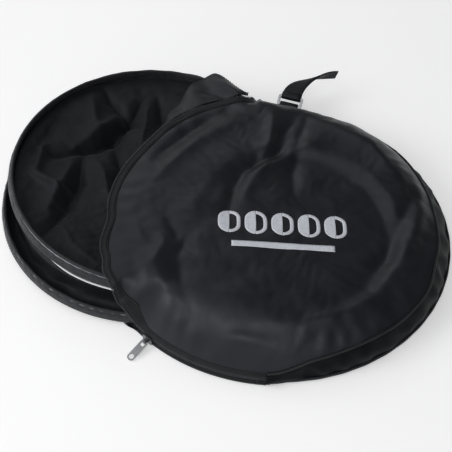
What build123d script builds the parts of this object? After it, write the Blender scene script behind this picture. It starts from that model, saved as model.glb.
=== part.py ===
from build123d import *
from math import cos, degrees, hypot, radians, sin, sqrt
import os

os.makedirs("parts", exist_ok=True)

# Collapsible reflector disc, folded into three loops and half out of its round zip bag.
# Millimetres. The bag lies on its back panel at z 0; the disc comes out along -X.

# Folded disc
open_diameter = 800.0  # the disc when it is sprung open
turns = 3
band_height = 11.2  # rim binding, as it stands in the folded stack
band_thickness = 3.8
tube_wall = 0.8
spring_width = 7.5
spring_thickness = 0.8
ferrule_length = 34.0
ferrule_thickness = 1.6
stack_base = 8.0  # height of the lowest point of the hoop's centreline
stack_half_rise = 17.5
stack_tilt = 2.5  # how much more the mouth side rises
loop_spread = 7.0  # radial swing that keeps the three loops clear of each other
loop_stagger = 8.5  # sideways swing of the loops
stagger_phase = 80.0
disc_offset_share = 0.9225  # disc centre from bag centre along -X, in loop radii
zip_cord = 1.1  # cover zip's coil, square section

# Bag
bag_margin = 28.67  # bag's radius beyond the folded loops
panel_thickness = 1.2
edge_binding = 1.6
plateau_cover = 3.5  # front panel above the highest centreline of the stack, at the bag's centre
plateau_slope = 0.062  # the front panel falls towards +X
piping = 2.4
zip_top_angle = 110.0
zip_bottom_angle = 285.0
slider_angle = 246.5

# Zip
zip_reach = 4.5  # zip line beyond the bag's radius
zip_height = 5.5
tape_thickness = 0.7
tape_lift = 0.2
tape_free = 2.3  # tape's turned edge above the upper coil
coil_height = 2.2
coil_depth = 1.4
coil_gap = 1.2
slider_plate = 1.0
slider_length = 11.0
slider_height = 8.0
slider_post = 0.8
zip_play = 0.5
pull_length = 21.0
pull_width = 7.0
pull_thickness = 1.2
pull_eye = 6.0
pull_play = 0.35

# Wrist strap and its ring
ring_angle = 104.0
ring_width = 26.0
ring_along = -35.5
ring_inset = 6.0
ring_depth = 9.0
ring_wire = 2.6
ring_height = 18.0
strap_width = 20.0
strap_thickness = 1.2
strap_length = 47.0
strap_play = 0.3

# Print on the front panel
print_width = 20.5
print_rise = 27.0
print_pitch = 24.0
print_count = 5
print_line = 3.5
print_relief = 0.3
print_turn = 19.0
print_along = 12.0
print_across = -20.5
bar_length = 92.0
bar_width = 6.5
bar_drop = 25.5

gap = 0.9  # between soft surfaces of one body that only lie near each other
steps_per_turn = 36

loop_radius = open_diameter / (2 * turns)
disc_offset = disc_offset_share * loop_radius
bag_radius = loop_radius + bag_margin
zip_radius = bag_radius + zip_reach
plateau_height = stack_base + 2 * stack_half_rise + plateau_cover


def eased(stations, angle):
    """Value at an angle, eased between (angle, value) stations round the circle."""
    a = angle % 360
    ring = sorted(stations)
    ring = [(ring[-1][0] - 360, ring[-1][1])] + ring + [(ring[0][0] + 360, ring[0][1])]
    for (a0, v0), (a1, v1) in zip(ring, ring[1:]):
        if a0 <= a <= a1:
            t = (a - a0) / (a1 - a0)
            return v0 + (v1 - v0) * t * t * (3 - 2 * t)
    return ring[0][1]


def polar(radius, angle, z):
    return Vector(radius * cos(radians(angle)), radius * sin(radians(angle)), z)


def outward(angle):
    return Vector(cos(radians(angle)), sin(radians(angle)), 0)


def lofted(sections, ruled=False):
    return Solid.make_loft([Wire.make_polygon(s, close=True) for s in sections], ruled=ruled)


def joined(solids):
    result = solids[0]
    for solid in solids[1:]:
        result = result.fuse(solid)
    return result


def save(shape, node):
    shape.label = node
    export_step(shape, f"parts/{node}.step")


# ---- Folded disc -------------------------------------------------------------------------

def hoop_point(turn):
    """Centreline of the folded hoop: turn runs 0 to 1080 degrees and closes on itself."""
    phase = radians(90 + (turn - 180) / turns)
    radius = loop_radius - loop_spread * cos(phase)
    rise = stack_half_rise - stack_tilt * cos(radians(turn))
    sway = loop_stagger * cos(phase - radians(stagger_phase))
    point = polar(radius, turn, stack_base + rise * (1 + sin(phase)))
    return point + Vector(-disc_offset, sway, 0)


def band_section(turn, thickness, height, inset=0.0, lift=0.0):
    centre = hoop_point(turn) - outward(turn) * inset + Vector(0, 0, lift)
    across = outward(turn) * (thickness / 2)
    up = Vector(0, 0, height / 2)
    return [centre - across - up, centre + across - up, centre + across + up, centre - across + up]


def band(thickness, height, inset=0.0, lift=0.0, start=0.0, end=360.0 * turns):
    count = max(1, round((end - start) / 360))
    solids = []
    for k in range(count):
        a = start + (end - start) * k / count
        b = start + (end - start) * (k + 1) / count
        steps = max(4, round(steps_per_turn * (b - a) / 360))
        sections = []
        for i in range(steps + 1):
            turn = a + (b - a) * i / steps
            sections.append(band_section(turn, thickness, height, inset, lift))
        solids.append(lofted(sections))
    return joined(solids)


def hoop_spring():
    return band(spring_thickness, spring_width)


ferrule_turn = 720.0
ferrule_half = degrees(ferrule_length / 2 / loop_radius)


def hoop_ferrule():
    a = ferrule_turn - ferrule_half
    b = ferrule_turn + ferrule_half
    outer = band(ferrule_thickness, spring_width + 0.8, start=a, end=b)
    core = band(spring_thickness, spring_width, start=a - 1, end=b + 1)
    return outer.cut(core)


def rim_binding():
    outer = band(band_thickness, band_height)
    inner = band(band_thickness - 2 * tube_wall, band_height - 2 * tube_wall)
    return outer.cut(inner)


def cover_zip_coil():
    inset = band_thickness / 2 + zip_cord / 2
    lift = band_height / 2 - 2 * zip_cord
    return band(zip_cord, zip_cord, inset, lift)


def cloth_radius(angle):
    """Inside of the nearest loop at an angle, about the disc's centre."""
    nearest = loop_radius
    for k in range(turns):
        p = hoop_point(angle + 360 * k)
        nearest = min(nearest, hypot(p.X + disc_offset, p.Y))
    return nearest - band_thickness / 2 - zip_cord - gap


def cloth_outline():
    points = []
    for i in range(36):
        p = polar(cloth_radius(i * 10), i * 10, 0) + Vector(-disc_offset, 0, 0)
        points.append(p)
    return Face(Wire(Spline(*points, periodic=True)))


def sloped_slab(z0, slope0, z1, slope1):
    """Everything between two planes that rise towards -X, over the disc."""
    half = 200.0
    x0 = -disc_offset
    section = [
        Vector(x0 - half, -half, z0 + slope0 * half),
        Vector(x0 + half, -half, z0 - slope0 * half),
        Vector(x0 + half, -half, z1 - slope1 * half),
        Vector(x0 - half, -half, z1 + slope1 * half),
    ]
    face = Face(Wire.make_polygon(section, close=True))
    return extrude(face, amount=2 * half, dir=(0, 1, 0))


def cloth(z0, slope0, z1, slope1):
    prism = extrude(cloth_outline(), amount=80, dir=(0, 0, 1))
    return (prism & sloped_slab(z0, slope0, z1, slope1)).solids()[0]


cloth_base = stack_base - band_height / 2 + 0.4
white_top = (15.0, 0.022)
panel_top = (26.0, 0.045)
black_top = (36.5, 0.066)


def white_face():
    return cloth(cloth_base, 0.0, *white_top)


def diffuser_panel():
    return cloth(*white_top, *panel_top)


def black_face():
    return cloth(*panel_top, *black_top)


# ---- Bag ---------------------------------------------------------------------------------

# Stations round the bag: (angle, value). Insets are from the bag's radius, drops from the plateau.
plateau_inset = [
    (0, 26), (45, 32), (90, 42), (103, 32), (113, 28), (125, 46), (165, 48),
    (206, 36), (222, 18), (236, 10), (246, 18), (285, 28), (325, 26),
]
seam_inset = [
    (0, 12), (20, 16), (45, 15), (90, 13), (103, 10), (110, 14), (121, 34), (165, 36),
    (206, 24), (222, 10), (229, 3), (236, -1), (246, 2), (285, 4), (310, 7), (343, 6),
]
seam_drop = [
    (0, 6), (45, 15), (90, 29), (103, 31), (110, 27), (115.5, 2), (124, 0), (165, 0),
    (206, 0), (229, 1), (233, 1.5), (238, 12), (246, 32), (285, 24), (325, 14),
]
# The lip's inset from the zip line, and its rise as a share of the plateau's height over the zip.
lip_inset = [
    (110, 0), (121, 26.5), (130, 28.5), (165, 28.5), (206, 16.5),
    (222, 2.5), (229, -3.5), (236, -5.5), (243.5, 0),
]
lip_rise = [
    (110, 0), (115.5, 1.03), (124, 1.085), (165, 1.173), (206, 1.153),
    (222, 1.085), (229, 1.092), (233, 1.075), (237, 0.71), (243.5, 0),
]
# How far each tape edge is turned down or up, in degrees.
upper_turn = [(110, 90), (119, 0), (206, 0), (229, 10), (236, 45), (243.5, 90), (285, 90)]
lower_turn = [(110, 90), (116, 0), (236, 0), (243.5, 90), (285, 90)]
mouth_end_angle = 243.5


def plateau_z(p):
    return plateau_height - plateau_slope * p.X


def plateau_point(angle):
    p = polar(bag_radius - eased(plateau_inset, angle), angle, 0)
    return Vector(p.X, p.Y, plateau_z(p))


def seam_point(angle):
    p = polar(bag_radius - eased(seam_inset, angle), angle, 0)
    return Vector(p.X, p.Y, plateau_z(p) - 0.6 - eased(seam_drop, angle))


def strip(inner, outer, lift, start, end, step=3.0):
    """A strip of cloth between two curves, with lift(angle) as its thickness."""
    steps = max(2, round((end - start) / step))
    sections = []
    for i in range(steps + 1):
        a = start + (end - start) * i / steps
        p = inner(a)
        q = outer(a)
        t = lift(a)
        sections.append([p, q, q + t, p + t])
    return lofted(sections, ruled=True)


def panel_ply(angle):
    return Vector(0, 0, -panel_thickness)


def wall_ply(angle):
    return outward(angle) * -panel_thickness


def bag_back_panel():
    return Solid.make_cylinder(bag_radius, panel_thickness)


def bag_edge_binding():
    square = Rectangle(edge_binding, edge_binding)
    section = Pos(bag_radius + edge_binding / 2, 0, edge_binding / 2) * square
    return revolve(Plane.XZ * section, Axis.Z)


def front_top():
    points = [plateau_point(3 * i) for i in range(120)]
    face = Face(Wire.make_polygon(points, close=True))
    return extrude(face, amount=panel_thickness, dir=(0, 0, -1)).solids()[0]


def bag_front_panel():
    skirts = [strip(plateau_point, seam_point, panel_ply, 120 * k, 120 * k + 120) for k in range(3)]
    return joined([front_top()] + skirts)


def base_point(angle):
    return polar(bag_radius, angle, panel_thickness)


def seam_underside(angle):
    return seam_point(angle) - Vector(0, 0, panel_thickness)


def bag_gusset():
    return strip(base_point, seam_underside, wall_ply, zip_bottom_angle, zip_top_angle + 360)


def front_piping():
    def near(angle):
        return seam_point(angle) + outward(angle) * 0.3 + Vector(0, 0, piping / 2)

    def far(angle):
        return near(angle) + outward(angle) * piping

    def ply(angle):
        return Vector(0, 0, -piping)

    return strip(near, far, ply, zip_bottom_angle, zip_top_angle + 360)


# ---- Zip ---------------------------------------------------------------------------------


def lip_reach(angle):
    return zip_radius - eased(lip_inset, angle)


def lip_height(angle):
    return zip_mouth + eased(lip_rise, angle) * (plateau_height - zip_mouth)


def lip_point(angle):
    if zip_top_angle <= angle <= mouth_end_angle:
        return polar(lip_reach(angle), angle, lip_height(angle))
    return polar(zip_radius, angle, zip_mouth)


def upper_direction(angle):
    b = radians(eased(upper_turn, angle))
    along = outward(angle) * cos(b) - Vector(0, 0, sin(b))
    across = outward(angle) * sin(b) + Vector(0, 0, cos(b))
    return along, across


def lower_direction(angle):
    b = radians(eased(lower_turn, angle))
    along = outward(angle) * cos(b) + Vector(0, 0, sin(b))
    across = outward(angle) * -sin(b) + Vector(0, 0, cos(b))
    return along, across


coil_top = zip_height + coil_gap / 2 + coil_height
coil_low = zip_height - coil_gap / 2 - coil_height
zip_mouth = coil_top + tape_free
upper_reach = tape_free
lower_reach = coil_low - tape_lift - tape_thickness / 2


def zip_angles():
    """Stations along the zip, from its top to its bottom."""
    steps = round((zip_bottom_angle - zip_top_angle) / 2.5)
    return [zip_top_angle + (zip_bottom_angle - zip_top_angle) * i / steps for i in range(steps + 1)]


def edge_strip(origin, direction, start, reach, half):
    """A strip along the zip that runs out from a curve: from start to reach along its direction."""
    sections = []
    for a in zip_angles():
        along, across = direction(a)
        near = origin(a) + along * start
        far = origin(a) + along * reach
        n = across * half
        sections.append([near - n, far - n, far + n, near + n])
    return lofted(sections, ruled=True)


def upper_root(angle):
    return seam_underside(angle) - Vector(0, 0, 0.3)


def tape(root, edge, direction, reach):
    """Tape that runs from its sewn root to the edge curve and turns along its direction."""
    t = Vector(0, 0, tape_thickness)
    sections = []
    for a in zip_angles():
        along, across = direction(a)
        n = across * (tape_thickness / 2)
        far = edge(a) + along * reach
        sections.append([root(a), edge(a) + n, far + n, far - n, edge(a) - n, root(a) - t])
    return lofted(sections, ruled=True)


def zip_tape_upper():
    return tape(upper_root, lip_point, upper_direction, upper_reach)


def zip_coil_upper():
    start = upper_reach + 0.05
    end = upper_reach + coil_height
    return edge_strip(lip_point, upper_direction, start, end, coil_depth / 2)


def lower_edge(angle):
    return polar(zip_radius, angle, tape_lift + tape_thickness / 2)


def lower_coil_line(angle):
    along, across = lower_direction(angle)
    return lower_edge(angle) + Vector(0, 0, across.Z * (coil_depth - tape_thickness) / 2)


def lower_root(angle):
    return polar(bag_radius + edge_binding + 0.1, angle, tape_lift + tape_thickness)


def zip_tape_lower():
    return tape(lower_root, lower_edge, lower_direction, lower_reach)


def zip_coil_lower():
    start = lower_reach + 0.05
    end = lower_reach + coil_height
    return edge_strip(lower_coil_line, lower_direction, start, end, coil_depth / 2)


def at_zip(angle):
    """Frame on the zip line: x outward, y along the zip, z up."""
    return Plane(origin=polar(zip_radius, angle, zip_height), x_dir=outward(angle), z_dir=(0, 0, 1))


def zip_bottom_stop():
    clasp = Box(coil_depth + 1.6, 3.0, 2 * coil_height + coil_gap)
    return (at_zip(zip_bottom_angle) * Pos(0, 1.6, 0)) * clasp


def zip_top_stops():
    tooth = Box(coil_depth + 1.2, 2.2, coil_height)
    rise = coil_gap / 2 + coil_height / 2
    plane = at_zip(zip_top_angle)
    pair = [(plane * Pos(0, -1.2, side * rise)) * tooth for side in (-1, 1)]
    return Compound(children=pair)


plate_reach = coil_depth / 2 + zip_play


def slider_body():
    plane = at_zip(slider_angle)
    outline = RectangleRounded(slider_length, slider_height, 2.2)
    face = Plane.YZ * outline
    plate = extrude(face, amount=slider_plate, dir=(1, 0, 0))
    inner = plane * Pos(-plate_reach - slider_plate, 0, 0) * plate
    outer = plane * Pos(plate_reach, 0, 0) * plate
    post = plane * Pos(0, -slider_length / 2 + 2.2, 0) * Box(2 * plate_reach + 0.4, 3.2, slider_post)
    return (inner + outer + post).solids()[0]


pivot_reach = plate_reach + slider_plate + 2.0
pull_bar = 0.7


def slider_crown():
    """The hook that holds the pull's cross bar against the slider."""
    inside = pull_bar + pull_play
    half = inside + 0.9
    plane = at_zip(slider_angle)
    foot = pivot_reach - plate_reach - slider_plate
    block = Pos((half - foot) / 2, 0, 0) * Box(half + foot, 2.8, 2 * half)
    window = Pos((inside - foot) / 2, 0, 0) * Box(inside + foot, 4.0, 2 * inside)
    return (plane * Pos(pivot_reach, 0, 0) * (block - window)).solids()[0]


pull_rest = -15.0


def pull_tab():
    """Pull with its cross bar on the pivot, drawn along +X and then hung at its rest angle."""
    rail = (pull_width - 3.6) / 2
    plate = Pos(pull_length / 2 - 1.5, 0, 0) * Box(pull_length - 3, pull_width, pull_thickness)
    end = Pos(pull_length - 3, 0, 0) * Cylinder(pull_width / 2, pull_thickness)
    window = Pos(2.6, 0, 0) * Box(5.2, pull_width - 2 * rail, 2 * pull_thickness)
    eye = Pos(pull_length - 3.2, 0, 0) * Cylinder(pull_eye / 2 - 0.6, 2 * pull_thickness)
    bar = Rot(90, 0, 0) * Cylinder(pull_bar, pull_width)
    shape = (plate + end) - window - eye + bar
    plane = at_zip(slider_angle)
    return (plane * Pos(pivot_reach, 0, 0) * Rot(0, -pull_rest, 0) * shape).solids()[0]


# ---- Mouth flap --------------------------------------------------------------------------

placket_reach = [(119, 0.5), (128, 43), (133, 40), (147, 16), (158, 0.5)]


def mouth_placket():
    """The loose flap of cloth at the mouth that lies over the hoop."""

    def near(angle):
        return polar(lip_reach(angle) + 4.6, angle, lip_height(angle) + 1.1)

    def far(angle):
        return polar(lip_reach(angle) + 5 + eased(placket_reach, angle), angle, plateau_height + 3.7)

    return strip(near, far, panel_ply, 119, 158, 3)


# ---- Wrist strap -------------------------------------------------------------------------

ring_centre = Vector(ring_along, bag_radius - ring_inset, ring_height)
ring_tilt = 28.0


def ring_plane():
    up = Vector(0, -sin(radians(ring_tilt)), cos(radians(ring_tilt)))
    return Plane(origin=ring_centre, x_dir=(1, 0, 0), z_dir=up)


def strap_ring():
    """Flat rectangular ring, pivoted on its inner long bar."""
    outer = RectangleRounded(ring_width, ring_depth + ring_wire, 2.2)
    inner = RectangleRounded(ring_width - 2 * ring_wire, ring_depth - ring_wire, 0.8)
    face = outer - inner
    ring = extrude(face, amount=ring_wire / 2, both=True)
    return (ring_plane() * Pos(0, ring_depth / 2, 0) * ring).solids()[0]


def sleeve(length, radius, wall):
    return Rot(0, 90, 0) * (Cylinder(radius + wall, length) - Cylinder(radius, 2 * length))


fold_radius = sqrt(2) * ring_wire / 2 + strap_play  # webbing round the ring's square wire


def strap_anchor_tab():
    """Webbing fold that holds the ring's inner bar to the bag's wall."""
    width = ring_width - 2 * ring_wire - 2.0
    fold = ring_plane() * sleeve(width, fold_radius, strap_thickness)
    reach = ring_centre.Y - fold_radius - 0.4
    seam_radius = bag_radius - eased(seam_inset, ring_angle) + piping + 2.8
    sewn = seam_radius * cos(radians(ring_angle - 90))
    foot = Pos(ring_centre.X, (reach + sewn) / 2, ring_centre.Z) * Box(width, reach - sewn, strap_thickness)
    return (fold + foot).solids()[0]


strap_turn = 74.0
strap_splay = 34.0


def strap_sections():
    """Two plies of webbing that leave the ring's outer bar, rise and turn edge-on."""
    start = (Location(ring_plane()) * Pos(0, ring_depth, 0)).position
    sections = []
    steps = 12
    for i in range(steps + 1):
        t = i / steps
        travel = fold_radius + 0.3 + t * strap_length
        centre = start + Vector(strap_splay * t * t, travel * 0.78, travel * 0.42 - 12 * t * t)
        turn = radians(strap_turn * t * t)
        width = Vector(cos(turn), 0, sin(turn)) * (strap_width / 2 * (1 - 0.12 * t))
        n = Vector(-sin(turn) * 0.8, -0.47, cos(turn) * 0.8).normalized() * strap_thickness
        sections.append([centre - width - n, centre + width - n, centre + width + n, centre - width + n])
    return sections


def hand_strap():
    body = lofted(strap_sections())
    start = Location(ring_plane()) * Pos(0, ring_depth, 0)
    fold = start * (Rot(0, 90, 0) * Cylinder(fold_radius + strap_thickness, strap_width))
    hollow = start * (Rot(0, 90, 0) * Cylinder(fold_radius, 2 * strap_width))
    return ((body + fold) - hollow).solids()[0]


def print_plane():
    """Lies on the front panel, turned so that the row of swatches reads from the front."""
    turn = radians(print_turn)
    origin = Vector(print_along, print_across, plateau_height - plateau_slope * print_along)
    row = Vector(cos(turn), sin(turn), -plateau_slope * cos(turn))
    return Plane(origin=origin, x_dir=row, z_dir=(plateau_slope, 0, 1))


def swatch():
    """An upright oval sign for a two-sided disc: one half solid, the other an outline."""
    outer = RectangleRounded(print_width, print_rise, 0.49 * print_width)
    inner_width = print_width - 2 * print_line
    inner = RectangleRounded(inner_width, print_rise - 2 * print_line, 0.49 * inner_width)
    half = Pos(print_width / 2, 0, 0) * Rectangle(print_width, print_rise)
    return outer - (inner & half)


def printed_mark():
    """Raised print on the front panel: a row of oval swatches over a plain bar."""
    plane = print_plane()
    shapes = []
    for i in range(print_count):
        x = (i - (print_count - 1) / 2) * print_pitch
        shapes.append(extrude(plane * Pos(x, 0, 0) * swatch(), amount=print_relief))
    bar = Pos(0, -bar_drop, 0) * Rectangle(bar_length, bar_width)
    shapes.append(extrude(plane * bar, amount=print_relief))
    return Compound(children=shapes)


NODES = [
    hoop_spring,
    hoop_ferrule,
    rim_binding,
    cover_zip_coil,
    white_face,
    diffuser_panel,
    black_face,
    bag_back_panel,
    bag_edge_binding,
    bag_front_panel,
    bag_gusset,
    front_piping,
    zip_tape_upper,
    zip_tape_lower,
    zip_coil_upper,
    zip_coil_lower,
    zip_bottom_stop,
    zip_top_stops,
    mouth_placket,
    strap_anchor_tab,
    slider_body,
    slider_crown,
    pull_tab,
    strap_ring,
    hand_strap,
    printed_mark,
]

for make in NODES:
    save(make(), make.__name__)
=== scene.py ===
import math

import bmesh
import bpy
import numpy as np
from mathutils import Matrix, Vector
from mathutils.bvhtree import BVHTree


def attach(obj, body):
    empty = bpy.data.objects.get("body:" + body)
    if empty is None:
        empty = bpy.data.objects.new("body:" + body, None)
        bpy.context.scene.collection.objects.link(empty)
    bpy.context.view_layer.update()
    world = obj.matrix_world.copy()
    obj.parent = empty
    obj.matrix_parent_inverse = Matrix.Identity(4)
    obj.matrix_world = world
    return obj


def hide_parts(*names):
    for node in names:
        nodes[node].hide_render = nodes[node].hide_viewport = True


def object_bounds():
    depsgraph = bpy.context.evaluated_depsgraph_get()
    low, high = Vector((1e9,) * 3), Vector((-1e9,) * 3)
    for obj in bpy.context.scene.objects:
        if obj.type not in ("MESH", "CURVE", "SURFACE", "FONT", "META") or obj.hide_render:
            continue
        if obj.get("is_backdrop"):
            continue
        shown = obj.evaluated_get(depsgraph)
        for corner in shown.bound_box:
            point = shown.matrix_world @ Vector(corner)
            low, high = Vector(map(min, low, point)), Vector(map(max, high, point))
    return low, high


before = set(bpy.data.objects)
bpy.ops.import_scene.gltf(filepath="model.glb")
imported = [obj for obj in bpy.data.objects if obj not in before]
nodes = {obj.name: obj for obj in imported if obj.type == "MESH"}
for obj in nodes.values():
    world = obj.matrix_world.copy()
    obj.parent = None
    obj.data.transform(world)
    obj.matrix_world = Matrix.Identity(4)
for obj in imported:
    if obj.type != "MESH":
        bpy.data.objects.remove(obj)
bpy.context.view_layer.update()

# Collapsible reflector disc, folded into three loops and half out of its round zip bag.
# Shapes are worked out in millimetres and scaled to metres when a mesh is made.

MM = 0.001

# ---- Sizes -------------------------------------------------------------------------------

OPEN_DISC, TURNS = 800.0, 3
LOOP = OPEN_DISC / (2 * TURNS)  # radius of the folded hoop
DISC_X = -0.9225 * LOOP  # middle of the disc, pulled out to the left of the bag's
LOOP_SPREAD, LOOP_SHIFT, SHIFT_AT = 7.0, 8.5, 80.0  # how far the turns stray from one circle
STACK_BASE, STACK_RISE, STACK_TILT = 8.0, 17.5, 2.5  # lowest loop, half the stack, its slope
SLEEVE_HALF, SLEEVE_TALL = 1.9, 5.6  # half the sleeve's thickness and height
SLEEVE_LEAN, LOWER_LEAN = -24.0, -14.0  # degrees, of the top loop and of the outer lower one

BAG_MARGIN, ZIP_REACH = 28.67, 4.5
BAG = LOOP + BAG_MARGIN  # radius of the bag's edge
ZIP = BAG + ZIP_REACH  # radius of the closed zip
PLATEAU, PLATEAU_FALL = 46.5, 0.062  # panel's height at the middle, and its fall to the right
ZIP_TOP, ZIP_BOTTOM, MOUTH_END = 110.0, 285.0, 243.5  # angles: the zip's ends, the mouth's low end
ZIP_MOUTH = 10.6  # height of the closed zip's upper tape
HOLLOW_X, HOLLOW_Y, HOLLOW_WIDE, HOLLOW_LONG = 24, -22, 94, 100  # sunk middle of the front panel
LOWEST_CLOTH = 1.6  # just clear of the back panel
PANEL_PLY, BACK_PLY, FLAP_PLY, TAPE_PLY, COVER_PLY = 0.6, 0.9, 0.7, 0.6, 0.5
LOWER_REACH = 2.15  # lower tape past its fold

RING_INSET, RING_BAR, BAR_GAP = 6.0, 1.3, 0.3  # RING_BAR is half the bar's side
RING = Vector((-35.5, BAG - RING_INSET, 18.0))
RING_TILT = math.radians(28.0)
STRAP_LENGTH, STRAP_HALF, STRAP_PLY = 47.0, 10.0, 1.1

PRINT_TURN = math.radians(19.0)
PRINT_AT = (12.0, -20.5)
PRINT_LIFT = 0.22
SWATCH_HALF, SWATCH_STRETCH, SWATCH_LINE, SWATCH_PITCH, SWATCHES = 10.25, 3.25, 3.5, 24.0, 5
BAR_LONG, BAR_WIDE, BAR_DROP = 92, 6.5, 25.5

CLOTH_FRAMES = 24  # length of a cloth simulation
EASE_SHARE = 0.6  # how far a point moves to its neighbours' middle in one easing pass

# Stations round the bag: (angle in degrees, value in millimetres). Insets are from the bag's
# radius, or from the zip's for the lip. LIP_RISE is a share of the way up to the plateau, and the
# TURN stations are how many degrees each tape is turned up from flat.
SLOPE_START = [
    (0, 40), (45, 36), (70, 34), (90, 42), (103, 38), (113, 30), (125, 42), (165, 44),
    (206, 40), (222, 30), (236, 24), (246, 34), (285, 52), (325, 50),
]
SEAM_INSET = [
    (0, 12), (20, 16), (45, 15), (90, 13), (103, 10), (110, 14), (121, 34), (165, 36),
    (206, 24), (222, 10), (229, 3), (236, -1), (246, 2), (285, 4), (310, 7), (343, 6),
]
SEAM_DROP = [
    (0, 6), (45, 15), (90, 29), (103, 31), (110, 27), (115.5, 2), (124, 0), (165, 0),
    (206, 0), (229, 1), (233, 1.5), (238, 12), (246, 32), (285, 24), (325, 14),
]
LIP_INSET = [
    (110, 2), (114, 14), (118, 27), (130, 28.5), (165, 28.5), (206, 16.5),
    (222, 2.5), (229, -3.5), (236, -5.5), (243.5, 0),
]
LIP_RISE = [
    (110, 0), (114, 0.5), (118, 0.98), (124, 1.085), (165, 1.173), (206, 1.153),
    (222, 1.085), (229, 1.092), (233, 1.075), (237, 0.71), (243.5, 0),
]
UPPER_TURN = [(110, 90), (119, 0), (206, 0), (229, 10), (236, 45), (243.5, 90), (285, 90)]
LOWER_TURN = [(110, 90), (116, 0), (236, 0), (243.5, 90), (285, 90)]
PLACKET_REACH = [(119, 0.5), (128, 43), (133, 40), (147, 16), (158, 0.5)]


def eased(stations, angle):
    """Value at an angle, or at many, eased between stations round the circle."""
    a = np.asarray(angle, float) % 360
    x = np.array([s[0] for s in stations], float)
    y = np.array([s[1] for s in stations], float)
    x = np.concatenate([[x[-1] - 360], x, [x[0] + 360]])
    y = np.concatenate([[y[-1]], y, [y[0]]])
    k = np.clip(np.searchsorted(x, a, side="right") - 1, 0, len(x) - 2)
    t = (a - x[k]) / (x[k + 1] - x[k])
    return y[k] + (y[k + 1] - y[k]) * t * t * (3 - 2 * t)


def step(low, high, value):
    """Smooth change from 0 at low to 1 at high."""
    t = np.clip((value - low) / (high - low), 0, 1)
    return t * t * (3 - 2 * t)


def polar(radius, angle, z):
    """Points at a radius, an angle in degrees and a height."""
    a = np.radians(angle)
    return np.stack(np.broadcast_arrays(radius * np.cos(a), radius * np.sin(a), z), -1)


def outward(angle):
    """Unit vector away from the middle at an angle."""
    return polar(1.0, angle, 0.0)


UP = np.array([0.0, 0.0, 1.0])


def ripple(x, y, scale, seed):
    """Smooth random swell between about -1 and 1, built from a few crossing waves."""
    source = np.random.default_rng(seed)
    total = np.zeros(np.broadcast(x, y).shape)
    for _ in range(7):
        a = source.uniform(0, 2 * math.pi)
        size = scale * source.uniform(0.6, 1.6)
        shift = source.uniform(0, 2 * math.pi)
        total = total + np.sin((x * math.cos(a) + y * math.sin(a)) * 2 * math.pi / size + shift)
    return total / 3.5


def crease(x, y, height, width, path, sharp=1.3):
    """Raised or sunk fold along a path, sharp at its crest, that dies out at both ends."""
    best = np.full(np.shape(x), 1e9)
    fade = np.zeros(np.shape(x))
    count = len(path) - 1
    for k in range(count):
        (x0, y0), (x1, y1) = path[k], path[k + 1]
        dx, dy = x1 - x0, y1 - y0
        t = np.clip(((x - x0) * dx + (y - y0) * dy) / (dx * dx + dy * dy), 0, 1)
        d = np.hypot(x - x0 - t * dx, y - y0 - t * dy)
        along = (k + t) / count
        fade = np.where(d < best, np.sin(math.pi * (0.12 + 0.76 * along)), fade)
        best = np.minimum(best, d)
    return height * fade * np.exp(-((best / width) ** sharp))


# ---- Mesh making -------------------------------------------------------------------------


def link(o):
    bpy.context.scene.collection.objects.link(o)
    return o


def put_uv(mesh, corners):
    """Gives each face corner its place on the cloth, in metres."""
    layer = mesh.uv_layers.new(name="Cloth")
    layer.data.foreach_set("uv", np.asarray(corners, np.float32).reshape(-1))


def piece(name, points, faces, corners, material):
    """Mesh object from points in millimetres."""
    mesh = bpy.data.meshes.new(name)
    mesh.from_pydata((np.asarray(points).reshape(-1, 3) * MM).tolist(), [], faces.tolist())
    put_uv(mesh, corners)
    mesh.materials.append(material)
    mesh.shade_smooth()
    return link(bpy.data.objects.new(name, mesh))


def lengths(rows):
    """Length run along a line of points, in metres."""
    run = np.linalg.norm(np.diff(rows, axis=0), axis=1)
    return np.concatenate([[0], np.cumsum(run)]) * MM


def grid(name, P, material, wrap_u=False, wrap_v=False, flip=False):
    """Surface through a grid of points, with its unrolled lengths as the UV map."""
    nu, nv = P.shape[:2]
    Q = np.concatenate([P, P[:1]], 0) if wrap_u else P
    Q = np.concatenate([Q, Q[:, :1]], 1) if wrap_v else Q
    su = lengths(Q[:, nv // 2])
    sv = lengths(Q[nu // 2])
    i, j = np.meshgrid(np.arange(len(su) - 1), np.arange(len(sv) - 1), indexing="ij")
    i, j = i.ravel(), j.ravel()
    i1, j1 = i + 1, j + 1
    here, next_u, next_v = i * nv, (i1 % nu) * nv, j1 % nv
    faces = np.stack([here + j, next_u + j, next_u + next_v, here + next_v], -1)
    corners = np.stack([su[i], sv[j], su[i1], sv[j], su[i1], sv[j1], su[i], sv[j1]], -1)
    corners = corners.reshape(-1, 4, 2)
    if flip:
        faces, corners = faces[:, ::-1], corners[:, ::-1]
    return piece(name, P, faces, corners, material)


def disc_grid(n):
    """Even square grid pressed into a unit disc: radius and angle of each point, and the faces."""
    s = np.linspace(-1, 1, n)
    a, b = np.meshgrid(s, s, indexing="ij")
    wide = np.abs(a) > np.abs(b)
    with np.errstate(divide="ignore", invalid="ignore"):
        angle = np.where(wide, math.pi / 4 * b / a, math.pi / 2 - math.pi / 4 * a / b)
    radius = np.where(wide, a, b)
    angle = np.where(radius == 0, 0, angle)
    angle = np.degrees(np.where(radius < 0, angle + math.pi, angle)) % 360
    radius = np.abs(radius)
    k = np.arange(n * n).reshape(n, n)
    faces = np.stack([k[:-1, :-1], k[1:, :-1], k[1:, 1:], k[:-1, 1:]], -1).reshape(-1, 4)
    return radius.ravel(), angle.ravel(), faces


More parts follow.
